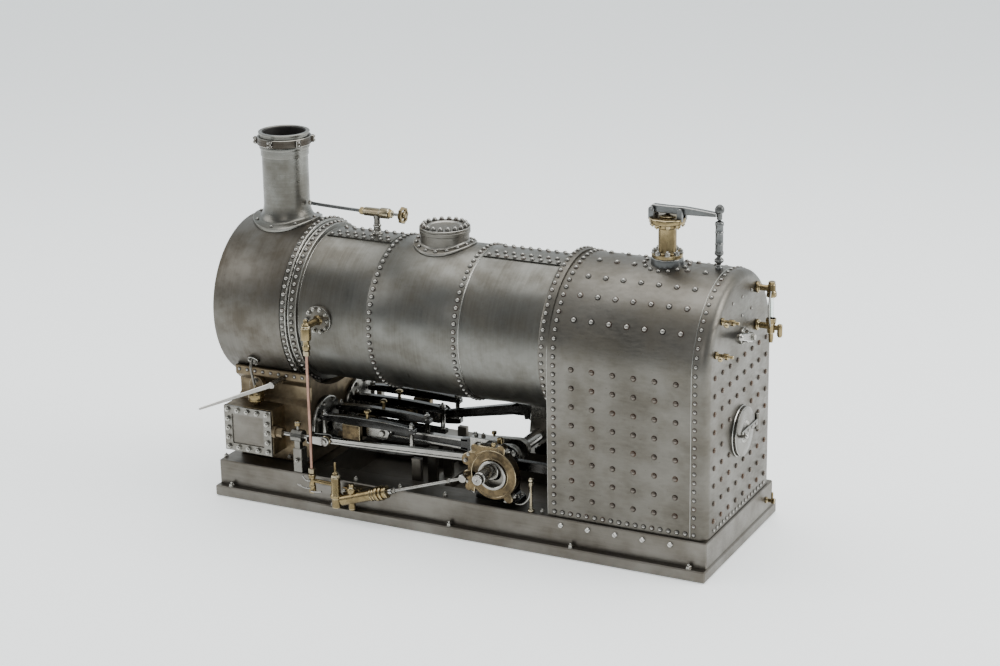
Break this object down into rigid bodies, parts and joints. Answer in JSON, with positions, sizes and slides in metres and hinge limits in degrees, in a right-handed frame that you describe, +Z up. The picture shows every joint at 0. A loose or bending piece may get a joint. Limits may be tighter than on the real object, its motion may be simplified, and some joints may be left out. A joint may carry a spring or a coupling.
{
  "type": "live steam engine",
  "caption": "Undertype steam engine: riveted locomotive-type boiler with chimney above a twin-cylinder horizontal engine on a steel bed, with feed pump and fittings.",
  "frame": {"origin": "centre of the bed on the floor", "axes": "+X from the smokebox to the firebox along the boiler, +Y to the far side, +Z up"},
  "size_m": [0.5804, 0.234, 0.364],
  "materials": {
    "boiler_steel": "satin, aged, fine brushed",
    "bright_steel": "polished and brushed",
    "dark_steel": "dark satin steel",
    "brass": "aged, polished on edges",
    "bronze": "dull bronze",
    "bronze_casting": "brown bronze casting",
    "copper": "aged copper",
    "glass": "clear"
  },
  "bodies": {
    "engine": {"bed": "boiler_steel", "cylinder_block": "bronze_casting", "near_chest_cover": "boiler_steel", "far_chest_cover": "boiler_steel", "near_front_cylinder_cover": "boiler_steel", "far_front_cylinder_cover": "boiler_steel", "near_rear_cylinder_cover": "boiler_steel", "far_rear_cylinder_cover": "boiler_steel", "near_outer_guide_bars": "dark_steel", "near_inner_guide_bars": "dark_steel", "far_outer_guide_bars": "dark_steel", "far_inner_guide_bars": "dark_steel", "motion_bracket": "dark_steel", "near_bearing": "dark_steel", "far_bearing": "dark_steel", "near_valve_guide": "dark_steel", "far_valve_guide": "dark_steel", "feed_pump": "brass", "delivery_pipe": "copper", "clack_valve": "brass", "smokebox": "boiler_steel", "chimney": "boiler_steel", "boiler_barrel": "boiler_steel", "fire_tubes": "copper", "firebox_wrapper": "boiler_steel", "backhead": "boiler_steel", "inner_firebox": "copper", "manhole_ring": "boiler_steel", "manhole_cover": "boiler_steel", "blower_valve": "brass", "blower_pipe": "boiler_steel", "safety_valve_body": "brass", "spring_balance": "bright_steel", "gauge_top_cock": "brass", "gauge_bottom_cock": "brass", "gauge_glass": "glass", "lubricator": "brass"},
    "crankshaft": {"crankshaft": "bright_steel", "near_eccentric": "bright_steel", "far_eccentric": "bright_steel"},
    "near_rod": {"near_connecting_rod": "bright_steel"},
    "far_rod": {"far_connecting_rod": "bright_steel"},
    "near_strap": {"near_eccentric_strap": "bronze"},
    "far_strap": {"far_eccentric_strap": "bronze"},
    "near_crosshead": {"near_crosshead": "bright_steel", "near_piston": "bright_steel"},
    "far_crosshead": {"far_crosshead": "bright_steel", "far_piston": "bright_steel"},
    "near_valve": {"near_valve_rod": "bright_steel"},
    "far_valve": {"far_valve_rod": "bright_steel"},
    "pump_ram": {"pump_ram": "bright_steel"},
    "blower_wheel": {"blower_wheel": "brass"},
    "safety_lever": {"safety_lever": "bright_steel"},
    "safety_plug": {"safety_valve_plug": "brass"},
    "fire_door": {"fire_door": "boiler_steel"},
    "smokebox_door": {"smokebox_door": "boiler_steel"},
    "regulator": {"regulator_handle": "bright_steel"},
    "upper_try_cock": {"upper_try_cock": "brass"},
    "lower_try_cock": {"lower_try_cock": "brass"},
    "starting_lever": {"starting_lever": "bright_steel"}
  },
  "joints": [
    {"name": "crank_spin", "type": "hinge", "parent": "engine", "child": "crankshaft", "pos_m": [0.044, 0, 0.074], "axis": [0, 1, 0], "continuous": true},
    {"name": "near_rod_pin", "type": "hinge", "parent": "crankshaft", "child": "near_rod", "pos_m": [0.019, -0.033, 0.074], "axis": [0, 1, 0], "continuous": true},
    {"name": "near_strap_turn", "type": "hinge", "parent": "crankshaft", "child": "near_strap", "pos_m": [0.0465, -0.0835, 0.06967], "axis": [0, 1, 0], "continuous": true},
    {"name": "near_crosshead_slide", "type": "slide", "parent": "engine", "child": "near_crosshead", "axis": [1, 0, 0], "range_m": [0, 0.05]},
    {"name": "near_valve_slide", "type": "slide", "parent": "engine", "child": "near_valve", "axis": [1, 0, 0], "range_m": [-0.005, 0.005]},
    {"name": "far_rod_pin", "type": "hinge", "parent": "crankshaft", "child": "far_rod", "pos_m": [0.044, 0.033, 0.099], "axis": [0, 1, 0], "continuous": true},
    {"name": "far_strap_turn", "type": "hinge", "parent": "crankshaft", "child": "far_strap", "pos_m": [0.03967, 0.0835, 0.0715], "axis": [0, 1, 0], "continuous": true},
    {"name": "far_crosshead_slide", "type": "slide", "parent": "engine", "child": "far_crosshead", "axis": [1, 0, 0], "range_m": [-0.02766, 0.02234]},
    {"name": "far_valve_slide", "type": "slide", "parent": "engine", "child": "far_valve", "axis": [1, 0, 0], "range_m": [-0.005, 0.005]},
    {"name": "pump_stroke", "type": "slide", "parent": "engine", "child": "pump_ram", "axis": [0.9489, 0, 0.3156], "range_m": [-0.005, 0.005]},
    {"name": "blower_wheel_turn", "type": "hinge", "parent": "engine", "child": "blower_wheel", "pos_m": [-0.0925, 0, 0.29], "axis": [1, 0, 0], "range_deg": [0, 720]},
    {"name": "safety_lever_lift", "type": "hinge", "parent": "engine", "child": "safety_lever", "pos_m": [0.1755, 0, 0.3255], "axis": [0, -1, 0], "range_deg": [0, 3]},
    {"name": "safety_valve_lift", "type": "slide", "parent": "engine", "child": "safety_plug", "axis": [0, 0, 1], "range_m": [0, 0.0007]},
    {"name": "fire_door_swing", "type": "hinge", "parent": "engine", "child": "fire_door", "pos_m": [0.2689, 0.032, 0.118], "axis": [0, 0, 1], "range_deg": [0, 110]},
    {"name": "smokebox_door_swing", "type": "hinge", "parent": "engine", "child": "smokebox_door", "pos_m": [-0.2705, 0.05, 0.191], "axis": [0, 0, -1], "range_deg": [0, 120]},
    {"name": "regulator_turn", "type": "hinge", "parent": "engine", "child": "regulator", "pos_m": [0.2723, 0, 0.212], "axis": [1, 0, 0], "range_deg": [0, 50]},
    {"name": "upper_try_cock_turn", "type": "hinge", "parent": "engine", "child": "upper_try_cock", "pos_m": [0.2643, -0.052, 0.241], "axis": [1, 0, 0], "range_deg": [0, 90]},
    {"name": "lower_try_cock_turn", "type": "hinge", "parent": "engine", "child": "lower_try_cock", "pos_m": [0.2643, -0.066, 0.213], "axis": [1, 0, 0], "range_deg": [0, 90]},
    {"name": "starting_lever_swing", "type": "hinge", "parent": "engine", "child": "starting_lever", "pos_m": [-0.2, -0.085, 0.125], "axis": [0, 1, 0], "range_deg": [0, 30]}
  ],
  "couplings": [
    {"joint": "near_rod_pin", "follows": "crank_spin", "ratio": -1},
    {"joint": "near_strap_turn", "follows": "crank_spin", "ratio": -1},
    {"joint": "far_rod_pin", "follows": "crank_spin", "ratio": -1},
    {"joint": "far_strap_turn", "follows": "crank_spin", "ratio": -1},
    {"joint": "safety_valve_lift", "follows": "safety_lever_lift", "m_per_rad": 0.0125}
  ]
}
